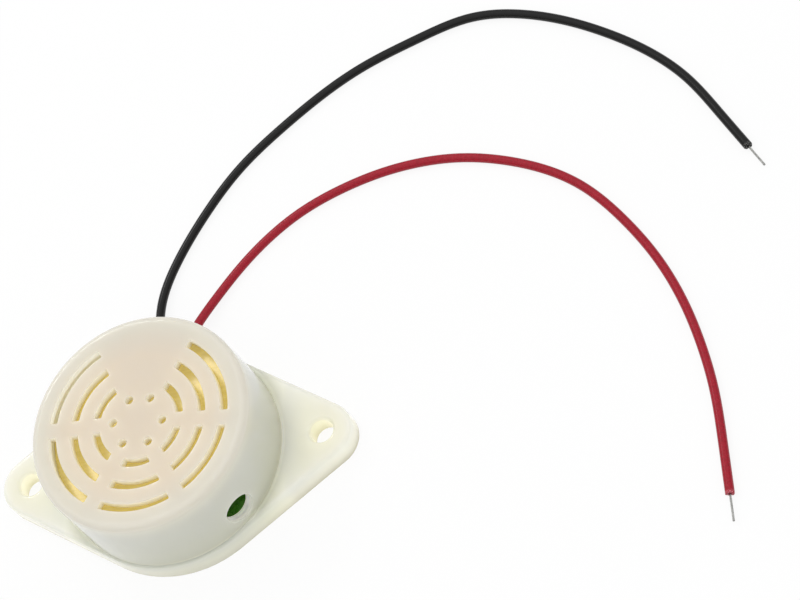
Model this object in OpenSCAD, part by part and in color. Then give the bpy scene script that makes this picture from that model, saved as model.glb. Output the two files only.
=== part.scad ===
// Electronic buzzer: round housing with two screw ears, slotted sound face and two lead wires.
// The back face lies on z = 0, the sound leaves along +Z and the ears lie along X. Sizes in mm.

/* [Housing] */
// Outer diameter of the round wall at the flange
body_d = 29.6; // [26:0.1:36]
// Height from the back face to the sound face
body_h = 14.5; // [13:0.1:20]
// How much smaller the wall's radius is at the front
wall_draft = 0.15; // [0:0.05:0.4]
// Thickness of the round wall at the flange
wall_t = 1.2; // [1:0.1:2]
// Thickness of the sound face
face_t = 1; // [0.8:0.1:1.6]
// Radius of the front edge
edge_r = 1; // [0.4:0.1:1.6]

/* [Flange] */
// Thickness of the flange and the ears
flange_t = 3.2; // [2.8:0.1:4.5]
// How far the flange stands out from the round wall
rim_w = 0.25; // [0.1:0.05:1]
// Distance between the two screw holes
hole_pitch = 40; // [38:0.5:50]
// Radius of the round end of an ear
ear_r = 4; // [3:0.1:5]
// Diameter of a screw hole
screw_hole_d = 3.2; // [2.5:0.1:4]

/* [Sound face] */
// Middle radius of the innermost ring of slots
ring_r = 5.65; // [5.2:0.05:6.2]
// Distance from one ring of slots to the next
ring_pitch = 3; // [2.6:0.05:3.1]
// Width of a slot
slot_w = 0.85; // [0.6:0.05:1.2]
// Width of a spoke between two slots
spoke_w = 2.1; // [1.4:0.1:2.6]
// Radius of the circle of small holes
pin_ring_r = 3.35; // [2.8:0.05:3.8]
// Diameter of a small hole
pin_hole_d = 1.1; // [0.8:0.05:1.4]

/* [Side hole] */
// Diameter of the hole through the wall
side_hole_d = 4.2; // [3:0.1:5]
// Height of the hole's centre
side_hole_z = 6.3; // [6:0.1:8]
// Bearing of the hole from the X axis
side_hole_turn = 315; // [300:1:330]

/* [Diaphragm] */
// Depth of the air gap in front of the diaphragm
cavity_h = 1.3; // [0.8:0.1:2]
// Width of the seat that carries the diaphragm
seat_w = 1.2; // [0.8:0.1:1.6]
// Thickness of the adhesive ring
glue_t = 0.1; // [0.05:0.05:0.2]
// Thickness of the brass plate
plate_t = 0.3; // [0.2:0.05:0.5]
// Diameter of the ceramic disc
ceramic_d = 20; // [16:0.5:21]
// Thickness of the ceramic disc
ceramic_t = 0.25; // [0.2:0.05:0.4]
// Bare edge of the ceramic round the electrodes
electrode_edge = 1; // [0.5:0.1:1.5]
// Thickness of the silver electrodes
electrode_t = 0.05; // [0.05:0.01:0.1]
// Width of the feedback electrode
tongue_w = 3; // [2.4:0.1:4]
// Length of the feedback electrode's straight sides
tongue_l = 4; // [3:0.1:5]
// Gap between the two electrodes
electrode_gap = 0.6; // [0.4:0.1:1]

/* [Board] */
// Thickness of the circuit board
board_t = 1.2; // [0.8:0.1:1.6]
// Space between the back cover and the board
board_gap = 1.7; // [1.6:0.1:2.4]
// Width of the step that the board seats on
board_step = 0.3; // [0.2:0.05:0.4]
// Diameter of every component lead
lead_d = 0.5; // [0.4:0.05:0.6]
// Clearance round a lead in its board hole
lead_gap = 0.15; // [0.1:0.05:0.25]
// How far a lead stands out below the board
lead_out = 0.8; // [0.6:0.05:0.9]
// Thickness of the copper
copper_t = 0.05; // [0.03:0.01:0.1]
// Diameter of a pad round a lead
pad_d = 1.7; // [1.4:0.1:2]
// Diameter of a pad for a lead wire
wire_pad_d = 2.8; // [2.6:0.1:3.2]
// Height of a solder cone
solder_h = 0.6; // [0.4:0.05:0.7]

/* [Components] */
// Diameter of the transistor's round side
transistor_d = 4.6; // [4:0.1:5]
// Height of the transistor body
transistor_h = 4.4; // [4:0.1:4.8]
// Gap between the transistor body and the board
transistor_lift = 1.2; // [0.8:0.1:1.5]
// Distance from the transistor's middle to its flat side
transistor_flat = 1.4; // [1.2:0.1:1.8]
// Distance between two transistor leads
transistor_pitch = 1.9; // [1.8:0.05:2]
// Diameter of the coil core's end discs
coil_d = 6.4; // [5.5:0.1:7]
// Space between the coil and the diaphragm
coil_gap = 1.4; // [1:0.1:2]
// Thickness of a coil end disc
coil_disc_t = 1; // [0.7:0.1:1.3]
// Diameter of the coil core's neck
coil_neck_d = 3; // [2.5:0.1:3.5]
// Diameter of the coil winding
winding_d = 5.4; // [4.6:0.1:5.5]
// Radius of the circle of coil pins
coil_pin_r = 2.2; // [1.9:0.1:2.4]
// Length of a resistor body
resistor_l = 3.4; // [3:0.1:3.8]
// Diameter of a resistor's middle
resistor_d = 1.6; // [1.4:0.1:1.8]
// Diameter of a resistor's two caps
resistor_cap_d = 1.9; // [1.8:0.05:2.2]
// Length of a resistor's cap
resistor_cap_l = 0.8; // [0.6:0.1:1]
// Distance between a resistor's two board holes
resistor_pitch = 7.5; // [7:0.1:8]

/* [Back cover] */
// Thickness of the back cover
cover_t = 1.2; // [0.8:0.1:1.2]
// Width of the step that the cover seats on
cover_step = 0.2; // [0.15:0.05:0.3]

/* [Lead wires] */
// Diameter of a lead wire
wire_d = 1.2; // [1:0.05:1.2]
// Diameter of a wire's conductor
conductor_d = 0.3; // [0.25:0.05:0.5]
// Length of bare conductor at a wire's far end
bare_l = 3.6; // [2:0.1:6]
// Length of bare conductor at a wire's inner end
inner_bare_l = 1.9; // [1.6:0.1:2.2]
// Radius of the solder joint on a wire
wire_solder_r = 1.2; // [1.1:0.05:1.25]

/* [Fits] */
// Clearance round a piece that drops into the housing
fit_gap = 0.1; // [0.05:0.05:0.2]

/* [Hidden] */
$fn = 96;
over = 1;

// Radii and heights that follow from the sizes above
body_r = body_d / 2;
front_r = body_r - wall_draft;
rim_r = body_r + rim_w;
bore_r = body_r - wall_t;
cavity_r = bore_r - seat_w;
board_bore_r = bore_r + board_step;
cover_bore_r = board_bore_r + cover_step;
seat_z = body_h - face_t - cavity_h;
plate_z = seat_z - glue_t - plate_t;
ceramic_z = plate_z - ceramic_t;
electrode_z = ceramic_z - electrode_t;
board_z = cover_t + board_gap;
board_top = board_z + board_t;
pad_z = board_z - copper_t;
lead_z = board_z - lead_out;
plate_r = bore_r - fit_gap;
board_r = board_bore_r - fit_gap;
cover_r = cover_bore_r - fit_gap;
ceramic_r = ceramic_d / 2;
electrode_r = ceramic_r - electrode_edge;

// Bearings of the spokes, the first two of which bound the bare sector, and of the small holes
spoke_turns = [60, 112, 176, 239, 296, 352];
pin_turns = [60, 111, 174, 233, 295, 353];
ring_count = 3;

// Places of the components on the board
transistor_at = [-6, -4.5];
coil_at = [6, 3.5];
resistor_at = [[-5.5, 3, 0], [-5.5, 6, 0], [1, -3.6, 90]];
ground_at = [(ceramic_r + plate_r) / 2, -1];
main_at = [-1, -7.4];
feedback_at = [tongue_l / 2 - electrode_r, 0];
transistor_leads_at = [for (i = [-1:1]) transistor_at + [i * transistor_pitch, 0]];
coil_pins_at = [for (a = [90, 210, 330]) coil_at + coil_pin_r * [cos(a), sin(a)]];
resistor_leads_at = [for (p = resistor_at, s = [-1, 1])
    [p[0], p[1]] + s * resistor_pitch / 2 * [cos(p[2]), sin(p[2])]];
diaphragm_leads_at = [ground_at, main_at, feedback_at];
leads_at = concat(transistor_leads_at, coil_pins_at, resistor_leads_at, diaphragm_leads_at);
resistor_axis_z = board_top + resistor_cap_d / 2 + fit_gap;
coil_h = electrode_z - board_top - coil_gap;

// Routes of the lead wires, from the solder joint to the cut end of the insulation
black_route = [
    [-2.5, 11, 2], [-2.5, 14, 2], [-2.5, 17, 2], [-3.5, 24, 0.6], [-0.5, 30.5, 0.6],
    [3.5, 36.5, 0.6], [8, 42, 0.6], [14, 46.5, 0.6], [20, 50.5, 0.6], [26, 53.5, 0.6],
    [33, 55.5, 0.6], [40, 57.5, 0.6], [46.5, 56.5, 0.6], [53, 54, 0.6], [59, 50.5, 0.6],
    [64.5, 46.5, 0.6], [69.5, 41.5, 0.6], [73.2, 35.3, 0.6], [76.7, 29.6, 0.6]
];
red_route = [
    [1, 11, 2], [1, 14, 2], [1, 17, 2], [5, 23.5, 0.6], [9.5, 28.5, 0.6],
    [15.5, 33, 0.6], [22, 35.5, 0.6], [29, 37, 0.6], [36.5, 37, 0.6], [43, 35.5, 0.6],
    [50, 32.5, 0.6], [55.5, 28.5, 0.6], [60, 23, 0.6], [64, 17, 0.6], [67, 10.5, 0.6],
    [69, 4, 0.6], [70.5, -3, 0.6], [71, -10, 0.6], [71.5, -17.2, 0.6]
];
wire_sides = 8;

// Housing

// Outline of the flange: a round rim and two ears with straight sides tangent to both
module flange_outline() {
    lean = acos((rim_r - ear_r) / (hole_pitch / 2));
    side = [cos(lean), sin(lean)];
    circle(r = rim_r);
    for (s = [0, 1]) {
        mirror([s, 0]) {
            translate([hole_pitch / 2, 0]) circle(r = ear_r);
            polygon([
                [0, 0],
                [rim_r * side[0], -rim_r * side[1]],
                [hole_pitch / 2 + ear_r * side[0], -ear_r * side[1]],
                [hole_pitch / 2 + ear_r * side[0], ear_r * side[1]],
                [rim_r * side[0], rim_r * side[1]]
            ]);
        }
    }
}

// Half section of the cup outside, with its rounded front edge
module cup_profile() {
    polygon([[0, 0], [body_r, 0], [front_r, body_h - edge_r], [front_r - edge_r, body_h], [0, body_h]]);
    translate([front_r - edge_r, body_h - edge_r]) circle(r = edge_r);
}

// Half section of the stepped bore: cover seat, board seat, diaphragm seat and front air gap
module bore_profile() {
    polygon([
        [0, -over],
        [cover_bore_r, -over],
        [cover_bore_r, cover_t],
        [board_bore_r, cover_t],
        [board_bore_r, board_top],
        [bore_r, board_top],
        [bore_r, seat_z],
        [cavity_r, seat_z],
        [cavity_r, body_h - face_t],
        [0, body_h - face_t]
    ]);
}

// Three rings of arc slots, cut by the spokes and left out of the bare sector
module slot_pattern() {
    difference() {
        for (i = [0:ring_count - 1]) {
            difference() {
                circle(r = ring_r + i * ring_pitch + slot_w / 2);
                circle(r = ring_r + i * ring_pitch - slot_w / 2);
            }
        }
        for (a = spoke_turns) {
            rotate(a) translate([0, -spoke_w / 2]) square([body_r, spoke_w]);
        }
        polygon([
            [0, 0],
            body_d * [cos(spoke_turns[0]), sin(spoke_turns[0])],
            body_d * [cos(spoke_turns[1]), sin(spoke_turns[1])]
        ]);
    }
}

module front_housing() {
    color("ivory") difference() {
        union() {
            rotate_extrude() cup_profile();
            linear_extrude(flange_t) flange_outline();
        }
        rotate_extrude() bore_profile();
        translate([0, 0, body_h - face_t - over / 2]) linear_extrude(face_t + over) slot_pattern();
        for (a = pin_turns) {
            rotate(a) translate([pin_ring_r, 0, body_h - face_t - over / 2])
                cylinder(d = pin_hole_d, h = face_t + over);
        }
        for (s = [-1, 1]) {
            translate([s * hole_pitch / 2, 0, -over]) cylinder(d = screw_hole_d, h = flange_t + 2 * over);
        }
        rotate(side_hole_turn) translate([bore_r - over, 0, side_hole_z]) rotate([0, 90, 0])
            cylinder(d = side_hole_d, h = wall_t + 2 * over);
        for (route = [black_route, red_route]) {
            translate([route[0][0], bore_r - over, route[0][2]]) rotate([-90, 0, 0])
                cylinder(d = wire_d + 2 * fit_gap, h = rim_r - bore_r + 2 * over);
        }
    }
}

module back_cover() {
    color("linen") cylinder(r = cover_r, h = cover_t);
}

// Diaphragm

module diaphragm_plate() {
    color("gold") translate([0, 0, plate_z]) cylinder(r = plate_r, h = plate_t);
}

module diaphragm_adhesive() {
    color("whitesmoke") translate([0, 0, seat_z - glue_t]) difference() {
        cylinder(r = plate_r, h = glue_t);
        translate([0, 0, -over]) cylinder(r = cavity_r, h = glue_t + 2 * over);
    }
}

module piezo_ceramic() {
    color("lightgrey") translate([0, 0, ceramic_z]) cylinder(d = ceramic_d, h = ceramic_t);
}

// Outline of the feedback electrode, a tongue from the edge with a round inner end
module tongue_outline(grow) {
    translate([-electrode_r - grow, -tongue_w / 2 - grow]) square([tongue_l + grow, tongue_w + 2 * grow]);
    translate([tongue_l - electrode_r, 0]) circle(d = tongue_w + 2 * grow);
}

module main_electrode() {
    color("silver") translate([0, 0, electrode_z]) linear_extrude(electrode_t) difference() {
        circle(r = electrode_r);
        tongue_outline(electrode_gap);
    }
}

module feedback_electrode() {
    color("silver") translate([0, 0, electrode_z]) linear_extrude(electrode_t) intersection() {
        circle(r = electrode_r);
        tongue_outline(0);
    }
}

// One straight lead from below the board up to the given height
module board_lead(at, top) {
    translate([at[0], at[1], lead_z]) cylinder(d = lead_d, h = top - lead_z);
}

module ground_lead() {
    color("blue") board_lead(ground_at, plate_z);
}

module main_lead() {
    color("red") board_lead(main_at, electrode_z);
}

module feedback_lead() {
    color("green") board_lead(feedback_at, electrode_z);
}

// Round drop of solder under a face at height z, round the lead's upper end
module solder_drop(at, z) {
    drop_r = pad_d / 2;
    translate([at[0], at[1], z]) difference() {
        sphere(r = drop_r);
        translate([-pad_d, -pad_d, 0]) cube([2 * pad_d, 2 * pad_d, pad_d]);
        translate([0, 0, -pad_d]) cylinder(d = lead_d, h = 2 * pad_d);
    }
}

module diaphragm_solder() {
    color("grey") {
        solder_drop(ground_at, plate_z);
        solder_drop(main_at, electrode_z);
        solder_drop(feedback_at, electrode_z);
    }
}

// Board

module circuit_board() {
    color("darkgreen") difference() {
        translate([0, 0, board_z]) cylinder(r = board_r, h = board_t);
        for (p = leads_at) {
            translate([p[0], p[1], board_z - over])
                cylinder(d = lead_d + 2 * lead_gap, h = board_t + 2 * over);
        }
    }
}

// Middle of a lead wire's solder joint, under the board
function wire_joint(route) = [route[0][0], route[0][1] - inner_bare_l];

module copper_pads() {
    color("chocolate") translate([0, 0, pad_z]) {
        for (p = leads_at) {
            translate([p[0], p[1], 0]) difference() {
                cylinder(d = pad_d, h = copper_t);
                translate([0, 0, -over]) cylinder(d = lead_d + 2 * lead_gap, h = copper_t + 2 * over);
            }
        }
        for (route = [black_route, red_route]) {
            translate(wire_joint(route)) cylinder(d = wire_pad_d, h = copper_t);
        }
    }
}

module board_solder() {
    color("grey") {
        for (p = leads_at) {
            translate([p[0], p[1], pad_z - solder_h]) difference() {
                cylinder(d1 = lead_d + 2 * lead_gap, d2 = pad_d, h = solder_h);
                translate([0, 0, -over]) cylinder(d = lead_d, h = solder_h + 2 * over);
            }
        }
        for (route = [black_route, red_route]) {
            difference() {
                translate(concat(wire_joint(route), pad_z)) sphere(r = wire_solder_r);
                translate(concat(wire_joint(route), pad_z)) translate([-wire_pad_d, -wire_pad_d, 0])
                    cube([2 * wire_pad_d, 2 * wire_pad_d, wire_pad_d]);
                inner_end(route);
            }
        }
    }
}

// Components

module transistor_body() {
    color("dimgrey") translate([transistor_at[0], transistor_at[1], board_top + transistor_lift])
        linear_extrude(transistor_h) difference() {
            circle(d = transistor_d);
            translate([-transistor_d, -transistor_d - transistor_flat])
                square([2 * transistor_d, transistor_d]);
        }
}

module transistor_leads() {
    color("silver") for (p = transistor_leads_at) board_lead(p, board_top + transistor_lift);
}

module coil_core() {
    color("darkslategrey") translate([coil_at[0], coil_at[1], board_top]) difference() {
        cylinder(d = coil_d, h = coil_h);
        translate([0, 0, coil_disc_t]) difference() {
            cylinder(d = coil_d + over, h = coil_h - 2 * coil_disc_t);
            translate([0, 0, -over]) cylinder(d = coil_neck_d, h = coil_h + over);
        }
    }
}

module coil_winding() {
    color("peru") translate([coil_at[0], coil_at[1], board_top + coil_disc_t]) difference() {
        cylinder(d = winding_d, h = coil_h - 2 * coil_disc_t);
        translate([0, 0, -over]) cylinder(d = coil_neck_d, h = coil_h);
    }
}

module coil_pins() {
    color("silver") for (p = coil_pins_at) board_lead(p, board_top);
}

module resistor_bodies() {
    color("tan") for (p = resistor_at) {
        translate([p[0], p[1], resistor_axis_z]) rotate(p[2]) rotate([0, 90, 0]) {
            translate([0, 0, -resistor_l / 2]) cylinder(d = resistor_d, h = resistor_l);
            for (s = [0, 1]) {
                mirror([0, 0, s]) translate([0, 0, resistor_l / 2 - resistor_cap_l])
                    cylinder(d = resistor_cap_d, h = resistor_cap_l);
            }
        }
    }
}

// One resistor lead: straight out of the cap, round a bend and down through the board
module resistor_lead() {
    bend_r = lead_d;
    translate([resistor_l / 2, 0, resistor_axis_z]) rotate([0, 90, 0])
        cylinder(d = lead_d, h = resistor_pitch / 2 - bend_r - resistor_l / 2);
    translate([resistor_pitch / 2 - bend_r, 0, resistor_axis_z - bend_r]) rotate([90, 0, 0])
        rotate_extrude(angle = 90) translate([bend_r, 0]) circle(d = lead_d);
    translate([resistor_pitch / 2, 0, lead_z]) cylinder(d = lead_d, h = resistor_axis_z - bend_r - lead_z);
}

module resistor_leads() {
    color("silver") for (p = resistor_at) {
        translate([p[0], p[1], 0]) rotate(p[2]) {
            resistor_lead();
            rotate(180) resistor_lead();
        }
    }
}

// Lead wires

// Point on a smooth curve led by four route points, t from 0 to 1 along its middle stretch
function smooth(a, b, c, d, t) =
    let (u = 1 - t)
    (pow(u, 3) * a + inner_weight(t) * b + inner_weight(u) * c + pow(t, 3) * d) / 6;

// Weight of the nearer of the two inner route points
function inner_weight(t) = 3 * pow(t, 3) - 6 * pow(t, 2) + 4;

// Route point, carried on in a straight line past either end
function route_point(r, i) =
    i < 0 ? 2 * r[0] - r[1] : i < len(r) ? r[i] : 2 * r[len(r) - 1] - r[len(r) - 2];

// Curve of a route, with two points on each stretch
function finer(r) = [
    for (i = [0:len(r) - 2], t = [0, 0.5])
        smooth(route_point(r, i - 1), r[i], r[i + 1], route_point(r, i + 2), t),
    r[len(r) - 1]
];

function unit(v) = v / norm(v);

// Direction of the route at one point
function heading(r, i) = i == 0 ? [0, 1, 0] : unit(r[min(i + 1, len(r) - 1)] - r[i - 1]);

// Corner points of one ring of the tube
function ring_points(at, dir, size) =
    let (side = unit(cross(dir, [0, 0, 1])), up = cross(side, dir))
    [for (k = [0:wire_sides - 1])
        at + size / 2 * (cos((k + 0.5) * 360 / wire_sides) * side + sin((k + 0.5) * 360 / wire_sides) * up)];

// Tube swept along a route
module tube(r, size) {
    n = wire_sides;
    rings = len(r);
    points = [for (i = [0:rings - 1]) each ring_points(r[i], heading(r, i), size)];
    skin = [
        for (i = [0:rings - 2], k = [0:n - 1])
            [i * n + k, i * n + (k + 1) % n, (i + 1) * n + (k + 1) % n, (i + 1) * n + k]
    ];
    cap = [for (k = [n - 1:-1:0]) k];
    end_cap = [for (k = [0:n - 1]) (rings - 1) * n + k];
    polyhedron(points, concat(skin, [cap], [end_cap]));
}

// Conductor at the inner end of a wire, under the board
module inner_end(route) {
    translate(route[0]) rotate([90, 0, 0]) cylinder(d = conductor_d, h = inner_bare_l);
}

// Bare conductor at the far end of a wire, in line with its last stretch
module bare_end(route) {
    fine = finer(route);
    last = fine[len(fine) - 1];
    way = heading(fine, len(fine) - 1);
    translate(last) rotate([0, 90, atan2(way[1], way[0])]) cylinder(d = conductor_d, h = bare_l);
}

module black_inner_end() {
    color("silver") inner_end(black_route);
}

module red_inner_end() {
    color("silver") inner_end(red_route);
}

module black_wire() {
    color("black") tube(finer(black_route), wire_d);
}

module red_wire() {
    color("firebrick") tube(finer(red_route), wire_d);
}

module black_bare_end() {
    color("silver") bare_end(black_route);
}

module red_bare_end() {
    color("silver") bare_end(red_route);
}

front_housing();
back_cover();
diaphragm_plate();
diaphragm_adhesive();
piezo_ceramic();
main_electrode();
feedback_electrode();
circuit_board();
copper_pads();
board_solder();
transistor_body();
transistor_leads();
coil_core();
coil_winding();
coil_pins();
resistor_bodies();
resistor_leads();
ground_lead();
main_lead();
feedback_lead();
diaphragm_solder();
black_inner_end();
red_inner_end();
black_wire();
red_wire();
black_bare_end();
red_bare_end();
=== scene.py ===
"""Electronic buzzer: camera, lead wires, moulded housing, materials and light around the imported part."""

import math

import bmesh
import bpy
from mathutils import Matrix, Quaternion, Vector


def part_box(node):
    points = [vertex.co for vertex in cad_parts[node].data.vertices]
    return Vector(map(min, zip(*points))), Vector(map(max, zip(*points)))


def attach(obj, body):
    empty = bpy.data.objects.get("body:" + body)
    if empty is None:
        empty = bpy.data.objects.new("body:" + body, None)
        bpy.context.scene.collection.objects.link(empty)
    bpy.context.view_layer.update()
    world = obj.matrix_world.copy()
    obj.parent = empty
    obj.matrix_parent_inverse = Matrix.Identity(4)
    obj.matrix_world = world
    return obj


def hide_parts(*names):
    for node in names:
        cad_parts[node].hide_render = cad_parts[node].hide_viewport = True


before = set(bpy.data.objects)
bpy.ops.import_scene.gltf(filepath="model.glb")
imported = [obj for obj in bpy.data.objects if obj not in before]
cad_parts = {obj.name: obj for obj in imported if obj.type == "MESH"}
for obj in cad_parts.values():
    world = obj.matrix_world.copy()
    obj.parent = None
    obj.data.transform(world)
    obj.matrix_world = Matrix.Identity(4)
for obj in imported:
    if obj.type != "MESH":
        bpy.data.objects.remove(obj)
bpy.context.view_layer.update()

MM = 0.001

# Camera: the spot and aim are in mm, the roll in degrees
CAMERA_SPOT = Vector((184.93, -218.06, 419.19))
CAMERA_AIM = Vector((29.76, 17.90, 0.0))
CAMERA_ROLL = -39.63
CAMERA_LENS = 179.2
SENSOR_W = 36.0

# Housing, in mm
housing_low, housing_high = (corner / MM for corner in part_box("front_housing"))
BODY_H = housing_high.z
RIM_R = housing_high.y
HOLE_PITCH = 40.0
EAR_X = HOLE_PITCH / 2
EAR_R = housing_high.x - EAR_X
SCREW_HOLE_R = 1.6
FLANGE_T = 3.2
FLANGE_EDGE_R = 0.6
BASE_EDGE_R = 0.15
BODY_R = 14.8
WALL_DRAFT = 0.15
FRONT_EDGE_R = 1.0
CAVITY_R = 12.4
SEAT_Z = 12.2
BORE_R = 13.6
BOARD_BORE_R = 13.9
BOARD_TOP = 4.1
COVER_BORE_R = 14.1
COVER_T = 1.2

# Sound face, in mm and degrees
# The face is 0.15 thicker and the slots 0.15 wider than the solid's, nearer to the photo
FACE_T = 1.15
RING_R = 5.65
RING_PITCH = 3.0
RING_COUNT = 3
SLOT_W = 1.0
SPOKE_W = 2.05
SPOKE_TURNS = [60, 112, 176, 239, 296, 352]
PIN_RING_R = 3.35
PIN_HOLE_R = 0.55
PIN_TURNS = [60, 111, 174, 233, 295, 353]
SLOT_EDGE_R = 0.15
SLOT_CORNER_R = 0.15
HOLE_EDGE_R = 0.4

# Side hole and wire exits, in mm and degrees
SIDE_HOLE_R = 2.1
SIDE_HOLE_Z = 6.3
SIDE_HOLE_TURN = 315
SIDE_HOLE_TAPER = 0.15
SIDE_HOLE_LIP = 0.04
WIRE_EXIT_R = 0.7

# Lead wires, in mm
WIRE_D = 1.2
CONDUCTOR_D = 0.3
BARE_L = 3.6
BLACK_ROUTE = [
    (-2.5, 11, 2), (-2.5, 14, 2), (-2.5, 17, 2), (-3.5, 24, 0.6), (-0.5, 30.5, 0.6),
    (3.5, 36.5, 0.6), (8, 42, 0.6), (14, 46.5, 0.6), (20, 50.5, 0.6), (26, 53.5, 0.6),
    (33, 55.5, 0.6), (40, 57.5, 0.6), (46.5, 56.5, 0.6), (53, 54, 0.6), (59, 50.5, 0.6),
    (64.5, 46.5, 0.6), (69.5, 41.5, 0.6), (73.2, 35.3, 0.6), (76.7, 29.6, 0.6),
]
RED_ROUTE = [
    (1, 11, 2), (1, 14, 2), (1, 17, 2), (5, 23.5, 0.6), (9.5, 28.5, 0.6),
    (15.5, 33, 0.6), (22, 35.5, 0.6), (29, 37, 0.6), (36.5, 37, 0.6), (43, 35.5, 0.6),
    (50, 32.5, 0.6), (55.5, 28.5, 0.6), (60, 23, 0.6), (64, 17, 0.6), (67, 10.5, 0.6),
    (69, 4, 0.6), (70.5, -3, 0.6), (71, -10, 0.6), (71.5, -17.2, 0.6),
]
ROUTE_STEPS = 8
WIRE_SIDES = 24


# Camera

def add_camera():
    data = bpy.data.cameras.new("camera")
    data.sensor_width = SENSOR_W
    data.lens = CAMERA_LENS
    data.clip_start = 0.01
    camera = bpy.data.objects.new("camera", data)
    look = (CAMERA_AIM - CAMERA_SPOT).to_track_quat("-Z", "Y")
    camera.rotation_mode = "QUATERNION"
    camera.rotation_quaternion = look @ Quaternion((0, 0, 1), math.radians(CAMERA_ROLL))
    camera.location = CAMERA_SPOT * MM
    bpy.context.scene.collection.objects.link(camera)
    bpy.context.scene.camera = camera


# Mesh helpers, all in mm

def arc(centre, radius, start, end, count):
    """Points on an arc, with both ends; the angles are in degrees."""
    angles = [math.radians(start + (end - start) * i / (count - 1)) for i in range(count)]
    return [(centre[0] + radius * math.cos(a), centre[1] + radius * math.sin(a)) for a in angles]


def circle(centre, radius, count):
    return arc(centre, radius, 0, 360, count + 1)[:-1]


def add_skin(bm, loops, closed_ends=True):
    """Skins closed loops of equal length one after another, and caps the first and the last."""
    rings = [[bm.verts.new(p) for p in loop] for loop in loops]
    for low, high in zip(rings, rings[1:]):
        for i in range(len(low)):
            j = (i + 1) % len(low)
            bm.faces.new((low[i], low[j], high[j], high[i]))
    if closed_ends:
        bm.faces.new(rings[0][::-1])
        bm.faces.new(rings[-1])
    return rings


def new_object(name, bm):
    """Turns a mesh in mm into an object in metres."""
    bmesh.ops.recalc_face_normals(bm, faces=bm.faces[:])
    bmesh.ops.scale(bm, vec=(MM, MM, MM), verts=bm.verts[:])
    mesh = bpy.data.meshes.new(name)
    bm.to_mesh(mesh)
    bm.free()
    obj = bpy.data.objects.new(name, mesh)
    bpy.context.scene.collection.objects.link(obj)
    return obj


def edge_round(radius, steps):
    """Steps of a quarter round: how far the outline has moved in and how far it has risen."""
    turns = [math.pi / 2 * i / steps for i in range(steps + 1)]
    return [(radius * (1 - math.cos(t)), radius * math.sin(t)) for t in turns]


# Lead wires

def curve_points(route):
    """Smooth curve led by the route's points, the same one that the part's tubes follow."""
    points = [Vector(p) for p in route]
    points = [2 * points[0] - points[1], *points, 2 * points[-1] - points[-2]]
    found = []
    for a, b, c, d in zip(points, points[1:], points[2:], points[3:]):
        for step in range(ROUTE_STEPS):
            t = step / ROUTE_STEPS
            u = 1 - t
            inner = [3 * k ** 3 - 6 * k ** 2 + 4 for k in (t, u)]
            found.append((u ** 3 * a + inner[0] * b + inner[1] * c + t ** 3 * d) / 6)
    return found + [points[-2]]


def headings(points):
    ways = []
    for i in range(len(points)):
        before, after = points[max(i - 1, 0)], points[min(i + 1, len(points) - 1)]
        ways.append((after - before).normalized())
    return ways


def ring(centre, way, radius, count):
    side = way.cross(Vector((0, 0, 1))).normalized()
    up = side.cross(way)
    turns = [2 * math.pi * i / count for i in range(count)]
    return [centre + radius * (math.cos(t) * side + math.sin(t) * up) for t in turns]


def torn(loop, way):
    """Moves a loop's points along the wire, so that the cut looks torn."""
    count = len(loop)
    turns = [2 * math.pi * i / count for i in range(count)]
    shifts = [0.07 * math.sin(2 * t + 0.6) + 0.04 * math.sin(5 * t) for t in turns]
    return [p + shift * way for p, shift in zip(loop, shifts)]


def add_wire(name, route):
    """Insulation of one lead wire, with a torn lip at its cut end and a recess round the conductor."""
    points = curve_points(route)
    ways = headings(points)
    radius = WIRE_D / 2
    loops = [ring(p, w, radius, WIRE_SIDES) for p, w in zip(points[:-1], ways[:-1])]
    end, way = points[-1], ways[-1]
    lip = 0.18
    for inset, rise in edge_round(lip, 5):
        loops.append(torn(ring(end - (lip - rise) * way, way, radius - inset, WIRE_SIDES), way))
    for inner, depth in ((CONDUCTOR_D * 0.75, 0.05), (CONDUCTOR_D / 2, 0.3)):
        loops.append(ring(end - depth * way, way, inner, WIRE_SIDES))
    bm = bmesh.new()
    add_skin(bm, loops)
    wire = new_object(name, bm)
    for face in wire.data.polygons:
        face.use_smooth = True
    return wire, points


def add_strands(name, start, way):
    """Twisted strands of a bare end: one in the middle and six round it."""
    strand_r = CONDUCTOR_D / 6
    turns_per_mm = 0.25
    steps = 24
    side = way.cross(Vector((0, 0, 1))).normalized()
    up = side.cross(way)
    bm = bmesh.new()
    for k in range(7):
        reach = 0 if k == 0 else 2 * strand_r
        points = []
        for i in range(steps + 1):
            along = BARE_L * i / steps
            turn = 2 * math.pi * (k / 6 + turns_per_mm * along)
            points.append(start + along * way + reach * (math.cos(turn) * side + math.sin(turn) * up))
        loops = [ring(p, w, strand_r, 8) for p, w in zip(points, headings(points))]
        add_skin(bm, loops)
    strands = new_object(name, bm)
    for face in strands.data.polygons:
        face.use_smooth = True
    return strands


def add_lead(colour, route, slot):
    """One lead wire with its bare end, attached to the root in place of the part's own wire and bare end."""
    wire, points = add_wire(colour + "_insulation", route)
    way = headings(points)[-1]
    strands = add_strands(colour + "_strands", points[-1], way)
    for piece, node, finish in ((wire, "_wire", slot), (strands, "_bare_end", "tinned")):
        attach(piece, "root")
        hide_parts(colour + node)
    return wire, strands


# Moulded housing

def flange_loop(inset, z):
    """Outline of the flange, moved in by the given distance: two ears and a round rim."""
    lean = math.degrees(math.acos((RIM_R - EAR_R) / EAR_X))
    outline = arc((EAR_X, 0), EAR_R - inset, -lean, lean, 33)
    outline += arc((0, 0), RIM_R - inset, lean, 180 - lean, 65)
    outline += arc((-EAR_X, 0), EAR_R - inset, 180 - lean, 180 + lean, 33)
    outline += arc((0, 0), RIM_R - inset, 180 + lean, 360 - lean, 65)
    return [(x, y, z) for x, y in outline]


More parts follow.
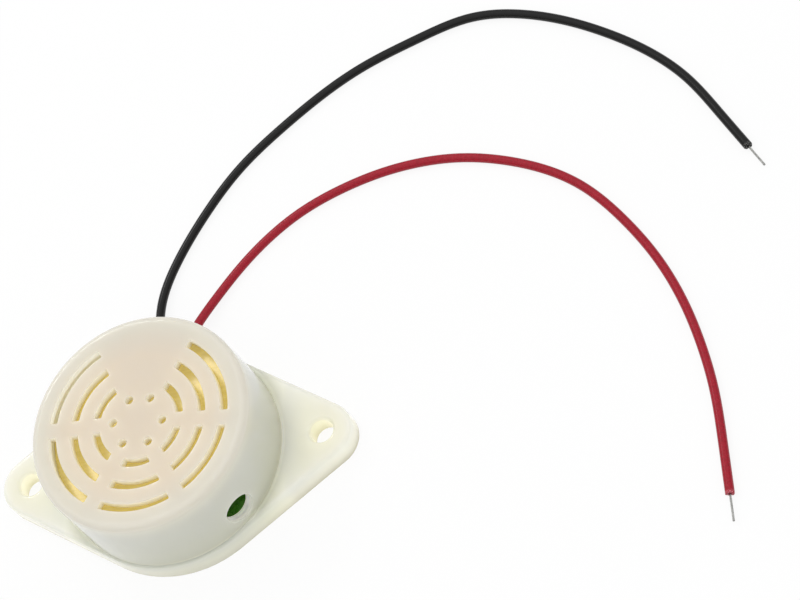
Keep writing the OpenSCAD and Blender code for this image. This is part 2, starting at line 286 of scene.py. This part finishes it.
def add_flange():
    loops = [flange_loop(BASE_EDGE_R - rise, inset) for inset, rise in edge_round(BASE_EDGE_R, 3)]
    low = FLANGE_T - FLANGE_EDGE_R
    loops += [flange_loop(inset, low + rise) for inset, rise in edge_round(FLANGE_EDGE_R, 8)]
    bm = bmesh.new()
    add_skin(bm, loops)
    return new_object("flange", bm)


def add_revolve(name, profile, count=192):
    """Solid of revolution from a profile of radius and height, capped flat at both ends."""
    bm = bmesh.new()
    add_skin(bm, [[(x, y, z) for x, y in circle((0, 0), r, count)] for r, z in profile])
    return new_object(name, bm)


def cup_profile():
    foot_z = FLANGE_T / 2
    straight = BODY_H - FRONT_EDGE_R
    front_r = BODY_R - WALL_DRAFT
    profile = [(BODY_R - WALL_DRAFT * foot_z / straight, foot_z)]
    profile += [(front_r - inset, straight + rise) for inset, rise in edge_round(FRONT_EDGE_R, 10)]
    return profile


def bore_profile():
    return [
        (COVER_BORE_R, -1), (COVER_BORE_R, COVER_T), (BOARD_BORE_R, COVER_T), (BOARD_BORE_R, BOARD_TOP),
        (BORE_R, BOARD_TOP), (BORE_R, SEAT_Z), (CAVITY_R, SEAT_Z), (CAVITY_R, BODY_H - FACE_T),
    ]


def polar(radius, turn):
    a = math.radians(turn)
    return (radius * math.cos(a), radius * math.sin(a))


def slot_outline(ring_r, start, end, grow):
    """Outline of one arc slot between two spokes, made wider all round by grow, with rounded corners."""
    corner = SLOT_CORNER_R + grow
    outline = []
    sides = []
    for radius, inward in ((ring_r + SLOT_W / 2 + grow, -corner), (ring_r - SLOT_W / 2 - grow, corner)):
        lean = math.degrees(math.asin((SPOKE_W / 2 + SLOT_CORNER_R) / (radius + inward)))
        sides.append((radius, radius + inward, start + lean, end - lean))
    radius, centre_r, first, last = sides[0]
    outline += arc(polar(centre_r, first), corner, start - 90, first, 6)
    outline += arc((0, 0), radius, first, last, 31)[1:-1]
    outline += arc(polar(centre_r, last), corner, last, end + 90, 6)
    radius, centre_r, first, last = sides[1]
    outline += arc(polar(centre_r, last), corner, end + 90, last + 180, 6)
    outline += arc((0, 0), radius, last, first, 31)[1:-1]
    outline += arc(polar(centre_r, first), corner, first + 180, start + 270, 6)
    return outline


def face_levels():
    """How much wider a cut is at each height, with a rounded edge at the sound face."""
    levels = [(0, BODY_H - FACE_T - 0.5)]
    levels += [(inset, BODY_H - SLOT_EDGE_R + rise) for inset, rise in edge_round(SLOT_EDGE_R, 4)]
    return levels + [(SLOT_EDGE_R, BODY_H + 1)]


def add_cutters():
    """Cuts for the slots, the small holes, the screw holes, the side hole and the wire exits."""
    bm = bmesh.new()
    for i in range(RING_COUNT):
        for start, end in zip(SPOKE_TURNS[1:], SPOKE_TURNS[2:] + [SPOKE_TURNS[0] + 360]):
            outlines = [(slot_outline(RING_R + i * RING_PITCH, start, end, g), z) for g, z in face_levels()]
            add_skin(bm, [[(x, y, z) for x, y in outline] for outline, z in outlines])
    for turn in PIN_TURNS:
        centre = polar(PIN_RING_R, turn)
        add_skin(bm, [[(x, y, z) for x, y in circle(centre, PIN_HOLE_R + g, 40)] for g, z in face_levels()])
    rounds = edge_round(HOLE_EDGE_R, 5)
    levels = [(HOLE_EDGE_R, -1)] + [(HOLE_EDGE_R - rise, inset) for inset, rise in rounds]
    levels += [(inset, FLANGE_T - HOLE_EDGE_R + rise) for inset, rise in rounds]
    levels += [(HOLE_EDGE_R, FLANGE_T + 1)]
    for x0 in (EAR_X, -EAR_X):
        loops = [[(x, y, z) for x, y in circle((x0, 0), SCREW_HOLE_R + g, 64)] for g, z in levels]
        add_skin(bm, loops)
    way = Vector((*polar(1, SIDE_HOLE_TURN), 0))
    spot = Vector((0, 0, SIDE_HOLE_Z))
    reach = [
        (BORE_R - 1, -SIDE_HOLE_TAPER), (BORE_R, -SIDE_HOLE_TAPER), (BODY_R - 0.15, 0),
        (BODY_R - 0.05, SIDE_HOLE_LIP), (BODY_R + 1, SIDE_HOLE_LIP),
    ]
    add_skin(bm, [ring(spot + r * way, way, SIDE_HOLE_R + g, 64) for r, g in reach])
    for x, _, z in (BLACK_ROUTE[0], RED_ROUTE[0]):
        way = Vector((0, 1, 0))
        reach = [(BORE_R - 1, 0), (RIM_R - 0.15, 0), (RIM_R + 0.05, 0.1), (RIM_R + 1, 0.1)]
        add_skin(bm, [ring(Vector((x, r, z)), way, WIRE_EXIT_R + g, 32) for r, g in reach])
    return new_object("cutters", bm)


def join_or_cut(base, operation, tool):
    """Applies one boolean step and removes its tool."""
    step = base.modifiers.new(operation, "BOOLEAN")
    step.operation = operation
    step.solver = "EXACT"
    step.object = tool
    apply_modifiers(base)
    bpy.data.objects.remove(tool)


def apply_modifiers(obj):
    bpy.context.view_layer.update()
    depsgraph = bpy.context.evaluated_depsgraph_get()
    mesh = bpy.data.meshes.new_from_object(obj.evaluated_get(depsgraph))
    obj.modifiers.clear()
    obj.data = mesh


def add_housing():
    housing = add_revolve("housing_shell", cup_profile())
    join_or_cut(housing, "UNION", add_flange())
    join_or_cut(housing, "DIFFERENCE", add_revolve("bore", bore_profile()))
    join_or_cut(housing, "DIFFERENCE", add_cutters())
    for face in housing.data.polygons:
        face.use_smooth = True
    housing.data.set_sharp_from_angle(angle=math.radians(35))
    normals = housing.modifiers.new("normals", "WEIGHTED_NORMAL")
    normals.keep_sharp = True
    apply_modifiers(housing)
    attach(housing, "root")
    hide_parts("front_housing")
    return housing


# Materials

class Finish:
    """A material with one principled shader, and short calls for the nodes that feed it."""

    def __init__(self, name, **sockets):
        self.material = bpy.data.materials.new(name)
        self.material.use_nodes = True
        self.nodes = self.material.node_tree.nodes
        self.links = self.material.node_tree.links
        self.shader = self.nodes["Principled BSDF"]
        self.place = self.nodes.new("ShaderNodeTexCoord").outputs["Object"]
        for socket, value in sockets.items():
            self.shader.inputs[socket.replace("_", " ")].default_value = value

    def link(self, output, socket):
        target = self.shader.inputs[socket] if isinstance(socket, str) else socket
        self.links.new(output, target)

    def stretched(self, scale):
        node = self.nodes.new("ShaderNodeMapping")
        node.inputs["Scale"].default_value = scale
        self.links.new(self.place, node.inputs["Vector"])
        return node.outputs["Vector"]

    def noise(self, size_mm, detail=3, place=None):
        """Noise from 0 to 1 with features of about the given size."""
        node = self.nodes.new("ShaderNodeTexNoise")
        node.inputs["Scale"].default_value = 1 / (size_mm * MM)
        node.inputs["Detail"].default_value = detail
        self.links.new(place or self.place, node.inputs["Vector"])
        return node.outputs["Fac"]

    def ramp(self, factor, stops):
        """Colours along a factor: each stop is a place from 0 to 1 and a colour."""
        node = self.nodes.new("ShaderNodeValToRGB")
        elements = node.color_ramp.elements
        while len(elements) < len(stops):
            elements.new(0.5)
        for element, (at, colour) in zip(elements, stops):
            element.position = at
            element.color = (*colour, 1)
        self.links.new(factor, node.inputs["Fac"])
        return node.outputs["Color"]

    def range(self, factor, low, high, from_low=0.0, from_high=1.0):
        node = self.nodes.new("ShaderNodeMapRange")
        limits = {"From Min": from_low, "From Max": from_high, "To Min": low, "To Max": high}
        for socket, value in limits.items():
            node.inputs[socket].default_value = value
        self.links.new(factor, node.inputs["Value"])
        return node.outputs["Result"]

    def mix(self, factor, first, second, blend="MIX"):
        """Blends two colours; a factor may be a number or another node's output."""
        node = self.nodes.new("ShaderNodeMix")
        node.data_type = "RGBA"
        node.blend_type = blend
        for socket, value in ((node.inputs[0], factor), (node.inputs[6], first), (node.inputs[7], second)):
            if isinstance(value, bpy.types.NodeSocket):
                self.links.new(value, socket)
            else:
                socket.default_value = value if isinstance(value, (int, float)) else (*value, 1)
        return node.outputs[2]

    def level(self):
        """Height on the part, from 0 at its back to 1 at its face."""
        node = self.nodes.new("ShaderNodeSeparateXYZ")
        self.links.new(self.place, node.inputs["Vector"])
        return self.range(node.outputs["Z"], 0, 1, 0, BODY_H * MM)

    def away(self, axes, spot_mm=(0, 0, 0)):
        """Distance from a spot along the given axes; the spot counts on both sides of the part's middle."""
        both = self.nodes.new("ShaderNodeVectorMath")
        both.operation = "ABSOLUTE"
        self.links.new(self.stretched(axes), both.inputs[0])
        node = self.nodes.new("ShaderNodeVectorMath")
        node.operation = "DISTANCE"
        self.links.new(both.outputs["Vector"], node.inputs[0])
        node.inputs[1].default_value = [v * MM for v in spot_mm]
        return node.outputs["Value"]

    def depths(self, factor, stops):
        """Depths in mm along a factor."""
        return self.ramp(factor, [(at, (depth_mm * MM,) * 3) for at, depth_mm in stops])

    def glow(self, factor, stops):
        """Strengths of light along a factor."""
        return self.ramp(factor, [(at, (strength,) * 3) for at, strength in stops])

    def bump(self, factor, depth_mm, strength=1.0):
        node = self.nodes.new("ShaderNodeBump")
        node.inputs["Strength"].default_value = strength
        node.inputs["Distance"].default_value = depth_mm * MM
        self.links.new(factor, node.inputs["Height"])
        for socket in ("Normal", "Coat Normal"):
            self.link(node.outputs["Normal"], socket)


def rgb(red, green, blue):
    """Linear colour from screen values of 0 to 255."""
    parts = [v / 255 for v in (red, green, blue)]
    return tuple(p / 12.92 if p <= 0.04045 else ((p + 0.055) / 1.055) ** 2.4 for p in parts)


def ivory_plastic(name, spread_mm):
    """Translucent moulded plastic; its colour is linked by the caller."""
    finish = Finish(name, Subsurface_Weight=1.0, Subsurface_Scale=spread_mm * MM, Roughness=0.05, IOR=1.5)
    finish.shader.inputs["Subsurface Radius"].default_value = (1.0, 0.98, 0.9)
    return finish


def cloud(finish, colour):
    """Faint uneven tint, as in a moulded resin."""
    uneven = finish.range(finish.noise(6), 0.0, 0.3)
    finish.link(finish.mix(uneven, colour, rgb(252, 249, 240), "MULTIPLY"), "Base Color")


def shell_plastic():
    """Plastic of the housing. Its colour holds painted light and shade: near-white inner surfaces, a side
    darker towards its foot, and a flange top and sides lit and shaded by place. Its cuts, edge and foot glow
    faintly, painted light as if light came through it.
    """
    finish = ivory_plastic("ivory_plastic", 4)
    level = finish.level()
    from_axis = finish.away((1, 1, 0))
    from_hole = finish.away((1, 1, 0), (EAR_X, 0, 0))
    beyond = finish.range(finish.away((1, 0, 0)), 0, 1, 15 * MM, 16 * MM)
    high = finish.range(level, 0, 1, 0.88, 0.92)
    # Mask of the inner surfaces (slot walls, underside, bore); their near-white colour below is painted
    # light.
    inside = finish.mix(
        high,
        finish.range(from_axis, 1, 0, 14.2 * MM, 14.6 * MM),
        finish.range(from_axis, 1, 0, 13.4 * MM, 13.65 * MM),
    )
    middle = finish.range(from_axis, 1, 0, 9 * MM, 13 * MM)
    warm = finish.mix(middle, rgb(212, 208, 197), rgb(223, 209, 191))
    # Round the body's rim, away from the ears, the flange top is painted darker: painted shade by the foot of
    # the body.
    rim = finish.range(finish.away((1, 0, 0)), 1, 0, 12 * MM, 15 * MM)
    # The ear tops are painted lighter near the body: painted light against the body's shade.
    lit_near_body = finish.range(from_axis, 1, 0, 15 * MM, 21 * MM)
    ear_top = finish.mix(lit_near_body, rgb(230, 227, 209), rgb(255, 254, 230))
    top = finish.mix(rim, ear_top, rgb(203, 205, 188))
    # The flange's sides are painted lighter than its top, lightest on the ears: painted light in place of the
    # light they lack.
    band = finish.mix(rim, rgb(252, 252, 226), rgb(234, 237, 214))
    # The body's side colour with painted shade: darker and yellower towards its foot.
    wall = finish.ramp(level, [
        (0.22, rgb(208, 208, 184)), (0.3, rgb(208, 209, 190)), (0.5, rgb(210, 211, 196)),
        (0.7, rgb(214, 215, 201)), (0.9, rgb(219, 218, 205)),
    ])
    flange = finish.mix(finish.range(level, 0, 1, 0.18, 0.22), band, top)
    side = finish.mix(finish.range(level, 0, 1, 0.221, 0.226), flange, wall)
    outer_colour = finish.mix(finish.range(level, 0, 1, 0.9, 0.96), side, warm)
    # Painted light: the inner surfaces are near white, so that the cuts and the cavity don't fall into shade.
    lit_inner_colour = finish.mix(finish.range(level, 0, 1, 0.985, 0.998), rgb(255, 251, 232), warm)
    cloud(finish, finish.mix(inside, outer_colour, lit_inner_colour))
    outer = finish.depths(level, [(0.0, 4), (0.2, 4), (0.22, 6), (0.23, 3.5), (0.90, 3.5), (0.99, 4)])
    inner = finish.depths(level, [(0.0, 10), (0.95, 12), (0.98, 10), (0.997, 4)])
    ears = finish.depths(level, [(0.0, 8), (0.22, 8), (0.23, 3.5)])
    finish.link(finish.mix(beyond, finish.mix(inside, outer, inner), ears), "Subsurface Scale")
    face_cuts = finish.glow(finish.range(from_axis, 0, 1, 0, 13.5 * MM), [
        (0.86, 1), (0.89, 0.4), (0.905, 0.4), (0.915, 1), (0.99, 1), (1.0, 0),
    ])
    side_spot = [abs(v) for v in (*polar(BORE_R + 0.5, SIDE_HOLE_TURN), SIDE_HOLE_Z)]
    near_side = finish.range(finish.away((1, 1, 1), side_spot), 1, 0, 2.3 * MM, 2.4 * MM)
    side_cut = finish.mix(near_side, (0, 0, 0), finish.glow(finish.range(from_axis, 0, 1, 13 * MM, 15 * MM), [
        (0.28, 0), (0.29, 1), (0.45, 0.9), (0.6, 0.5), (0.76, 0.3), (0.84, 0),
    ]))
    foot = finish.range(from_axis, 1, 0, 15.0 * MM, 15.3 * MM)
    ear_cuts = finish.range(from_hole, 1, 0, 1.7 * MM, 2.0 * MM)
    edge = finish.range(from_axis, 0, 1, 14.5 * MM, 14.8 * MM)
    glow = (0, 0, 0)
    for place, stops in (
        (face_cuts, [(0.835, 0), (0.84, 0.15), (0.925, 0.15), (0.93, 0.2), (0.98, 0.18), (0.995, 0)]),
        (side_cut, [(0.27, 0), (0.28, 0.4), (0.59, 0.4), (0.6, 0)]),
        (ear_cuts, [(0.0, 0.08), (0.17, 0.1), (0.22, 0)]),
        (edge, [(0.0, 0.12), (0.1, 0.1), (0.2, 0)]),
        (foot, [(0.215, 0), (0.221, 0.13), (0.25, 0)]),
    ):
        glow = finish.mix(1.0, glow, finish.mix(place, (0, 0, 0), finish.glow(level, stops)), "ADD")
    finish.link(glow, "Emission Strength")
    gold, white = rgb(252, 238, 180), rgb(252, 250, 232)
    tint = finish.ramp(level, [(0.2, gold), (0.221, white), (0.6, white), (0.8, gold)])
    finish.link(tint, "Emission Color")
    return finish.material


def cover_plastic():
    """Plastic of the cover at the back."""
    finish = ivory_plastic("cover_plastic", 3)
    cloud(finish, finish.ramp(finish.noise(2), [(0.3, rgb(240, 236, 218)), (0.7, rgb(246, 242, 228))]))
    return finish.material


def brass():
    """Lacquered brass sheet with fine streaks and a few stains."""
    finish = Finish("brass", Metallic=1.0, Coat_Weight=1.0, Coat_IOR=2.2, Coat_Roughness=0.25)
    streaks = finish.noise(0.3, 4, finish.stretched((0.08, 1, 1)))
    colour = finish.ramp(streaks, [(0.3, rgb(203, 177, 40)), (0.7, rgb(219, 195, 72))])
    colour = finish.mix(finish.range(finish.noise(4), 0, 0.3), colour, rgb(190, 164, 40))
    finish.link(colour, "Base Color")
    finish.link(finish.range(streaks, 0.5, 0.65), "Roughness")
    finish.bump(streaks, 0.003)
    return finish.material


def metal(name, dark, light, size_mm=0.3, roughness=(0.25, 0.45)):
    """Bare metal with fine spots."""
    finish = Finish(name, Metallic=1.0)
    spots = finish.noise(size_mm, 4)
    finish.link(finish.ramp(spots, [(0.3, dark), (0.7, light)]), "Base Color")
    finish.link(finish.range(spots, *roughness), "Roughness")
    finish.bump(spots, 0.005)
    return finish.material


def coated(name, dark, light, size_mm=0.5, roughness=(0.4, 0.6), depth_mm=0.006):
    """Moulded, fired or lacquered surface with fine grain."""
    finish = Finish(name, IOR=1.5)
    grain = finish.noise(size_mm, 4)
    finish.link(finish.ramp(grain, [(0.3, dark), (0.7, light)]), "Base Color")
    finish.link(finish.range(finish.noise(3 * size_mm), *roughness), "Roughness")
    finish.bump(grain, depth_mm)
    return finish.material


def insulation(name, dark, light, pale, route):
    """Soft plastic of a wire, with pale specks where it was cut."""
    finish = Finish(name, IOR=1.5, Specular_IOR_Level=0.26)
    grain = finish.noise(0.25, 4)
    colour = finish.ramp(grain, [(0.3, dark), (0.7, light)])
    specks = finish.range(finish.noise(0.12), 0, 0.8, 0.5, 0.6)
    cut = finish.range(finish.away((1, 1, 1), [abs(v) for v in route[-1]]), 1, 0, 0.6 * MM, 0.75 * MM)
    colour = finish.mix(finish.mix(cut, (0, 0, 0), specks), colour, pale)
    finish.link(colour, "Base Color")
    finish.link(finish.range(finish.noise(0.75), 0.18, 0.26), "Roughness")
    finish.bump(grain, 0.006)
    return finish.material


def winding():
    """Enamelled wire, wound in turns one above another."""
    finish = Finish("winding", Metallic=1.0)
    turns = finish.nodes.new("ShaderNodeTexWave")
    turns.bands_direction = "Z"
    turns.inputs["Scale"].default_value = 1 / (0.13 * MM) / 6.28
    turns.inputs["Distortion"].default_value = 0.4
    finish.links.new(finish.place, turns.inputs["Vector"])
    band = turns.outputs["Fac"]
    finish.link(finish.ramp(band, [(0.1, rgb(120, 52, 24)), (0.8, rgb(196, 104, 58))]), "Base Color")
    finish.link(finish.range(finish.noise(0.4), 0.25, 0.4), "Roughness")
    finish.bump(band, 0.03)
    return finish.material


def dress(node, finish):
    """Gives a node of the part, or a piece of the scene, one material."""
    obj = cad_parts[node] if isinstance(node, str) else node
    obj.data.materials.clear()
    obj.data.materials.append(finish)


# Stage

def add_floor():
    bm = bmesh.new()
    bmesh.ops.create_grid(bm, x_segments=1, y_segments=1, size=3000)
    floor = new_object("floor", bm)
    floor.location.z = -0.00002
    material = bpy.data.materials.new("floor")
    material.use_nodes = True
    nodes, links = material.node_tree.nodes, material.node_tree.links
    nodes.clear()
    rays = nodes.new("ShaderNodeLightPath")
    seen = nodes.new("ShaderNodeMath")
    seen.operation = "MAXIMUM"
    links.new(rays.outputs["Is Camera Ray"], seen.inputs[0])
    more = nodes.new("ShaderNodeMath")
    more.operation = "MAXIMUM"
    links.new(rays.outputs["Is Glossy Ray"], more.inputs[0])
    links.new(rays.outputs["Is Transmission Ray"], more.inputs[1])
    links.new(more.outputs[0], seen.inputs[1])
    paper = nodes.new("ShaderNodeBsdfDiffuse")
    paper.inputs["Color"].default_value = (0.88, 0.88, 0.88, 1)
    glow = nodes.new("ShaderNodeEmission")
    glow.inputs["Strength"].default_value = 1.0
    share = nodes.new("ShaderNodeMath")
    share.operation = "MULTIPLY"
    share.inputs[1].default_value = 0.88
    links.new(seen.outputs[0], share.inputs[0])
    mix = nodes.new("ShaderNodeMixShader")
    links.new(share.outputs[0], mix.inputs["Fac"])
    links.new(paper.outputs[0], mix.inputs[1])
    links.new(glow.outputs[0], mix.inputs[2])
    out = nodes.new("ShaderNodeOutputMaterial")
    links.new(mix.outputs[0], out.inputs["Surface"])
    floor.data.materials.append(material)


def add_world(low, high):
    """Soft white sky, with one strength at the horizon and another overhead."""
    world = bpy.data.worlds.new("studio")
    world.use_nodes = True
    nodes, links = world.node_tree.nodes, world.node_tree.links
    place = nodes.new("ShaderNodeTexCoord")
    parts = nodes.new("ShaderNodeSeparateXYZ")
    links.new(place.outputs["Generated"], parts.inputs["Vector"])
    fade = nodes.new("ShaderNodeMapRange")
    fade.inputs["To Min"].default_value = low
    fade.inputs["To Max"].default_value = high
    links.new(parts.outputs["Z"], fade.inputs["Value"])
    sky = nodes["Background"]
    sky.inputs["Color"].default_value = (1, 1, 1, 1)
    links.new(fade.outputs["Result"], sky.inputs["Strength"])
    bpy.context.scene.world = world


def add_softbox(name, spot, size, power):
    """Square lamp that faces the housing; the spot and the size are in mm."""
    data = bpy.data.lights.new(name, "AREA")
    data.size = size * MM
    data.energy = power
    lamp = bpy.data.objects.new(name, data)
    lamp.location = Vector(spot) * MM
    lamp.rotation_euler = (-Vector(spot)).to_track_quat("-Z", "Y").to_euler()
    bpy.context.scene.collection.objects.link(lamp)


bpy.context.scene.view_settings.view_transform = "Standard"
add_camera()
black_wire, black_strands = add_lead("black", BLACK_ROUTE, "black_pvc")
red_wire, red_strands = add_lead("red", RED_ROUTE, "red_pvc")
housing = add_housing()

tinned = metal("tinned", rgb(150, 150, 148), rgb(196, 196, 192), 0.2)
silver = metal("silver", rgb(186, 186, 182), rgb(214, 214, 208), 0.4, (0.35, 0.55))
solder = metal("solder", rgb(150, 152, 154), rgb(190, 192, 194), 0.4, (0.2, 0.4))
hookup = coated("hookup", rgb(112, 138, 196), rgb(134, 158, 210), 0.3)

dress(housing, shell_plastic())
dress("back_cover", cover_plastic())
dress("diaphragm_plate", brass())
dress("diaphragm_adhesive", coated("adhesive", rgb(238, 238, 234), rgb(246, 246, 243), 0.6, (0.25, 0.4)))
dress("piezo_ceramic", coated("ceramic", rgb(196, 186, 160), rgb(212, 204, 180), 0.15, (0.5, 0.7)))
dress("main_electrode", silver)
dress("feedback_electrode", silver)
dress("circuit_board", coated("board", rgb(42, 104, 22), rgb(84, 146, 48), 0.5, (0.2, 0.35)))
dress("copper_pads", metal("copper", rgb(190, 104, 70), rgb(214, 132, 96)))
dress("transistor_body", coated("black_moulding", rgb(28, 28, 30), rgb(42, 42, 44), 0.2, (0.45, 0.6)))
dress("coil_core", coated("ferrite", rgb(48, 47, 46), rgb(64, 62, 60), 0.2, (0.5, 0.7)))
dress("coil_winding", winding())
dress("resistor_bodies", coated("resistor", rgb(200, 172, 124), rgb(216, 190, 144), 0.3, (0.35, 0.5)))
for node in ("board_solder", "diaphragm_solder"):
    dress(node, solder)
for node in ("ground_lead", "main_lead", "feedback_lead"):
    dress(node, hookup)
for node in ("transistor_leads", "coil_pins", "resistor_leads", "black_inner_end", "red_inner_end"):
    dress(node, tinned)
for piece in (black_strands, red_strands):
    dress(piece, tinned)
dress(black_wire, insulation("black_pvc", rgb(5, 5, 5), rgb(12, 12, 11), rgb(110, 110, 108), BLACK_ROUTE))
dress(red_wire, insulation("red_pvc", rgb(140, 11, 30), rgb(164, 20, 42), rgb(226, 150, 160), RED_ROUTE))

add_floor()
add_world(0.4, 1.36)
add_softbox("key", (-250, 320, 420), 120, 0.32)
